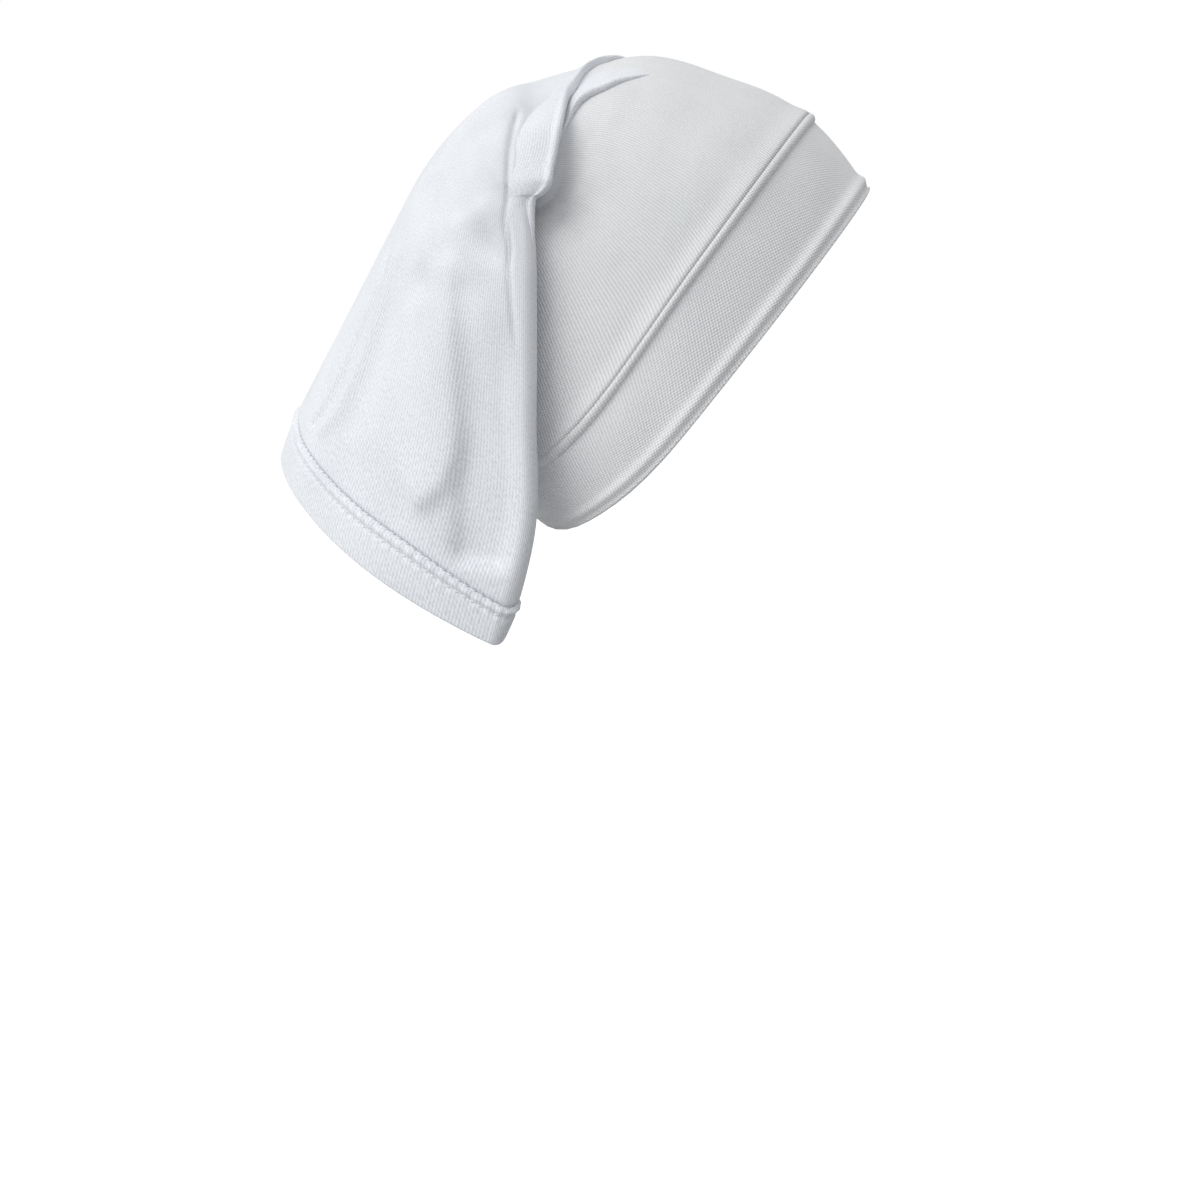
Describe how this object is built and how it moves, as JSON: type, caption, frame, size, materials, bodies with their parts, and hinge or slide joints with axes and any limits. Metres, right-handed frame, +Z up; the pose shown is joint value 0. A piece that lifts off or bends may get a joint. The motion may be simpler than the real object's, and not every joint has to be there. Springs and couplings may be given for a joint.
{
  "type": "hijab undercap",
  "caption": "White jersey tube undercap in its worn form, with a doubled band round the face, a raised tuck, and a hemmed tail folded down behind the head.",
  "frame": {"origin": "where the crown of the head bears on the inside of the cap, at the mount head_seat", "axes": "+Z up, the face towards -Y, the tail towards +Y, the wearer's right side towards -X"},
  "size_m": [0.1756, 0.2272, 0.2047],
  "materials": {
    "jersey": "soft satin knit"
  },
  "bodies": {
    "root": {"crown_tube": "jersey", "front_band": "jersey", "tuck_ridge": "jersey", "tail_hem": "jersey"}
  },
  "joints": []
}
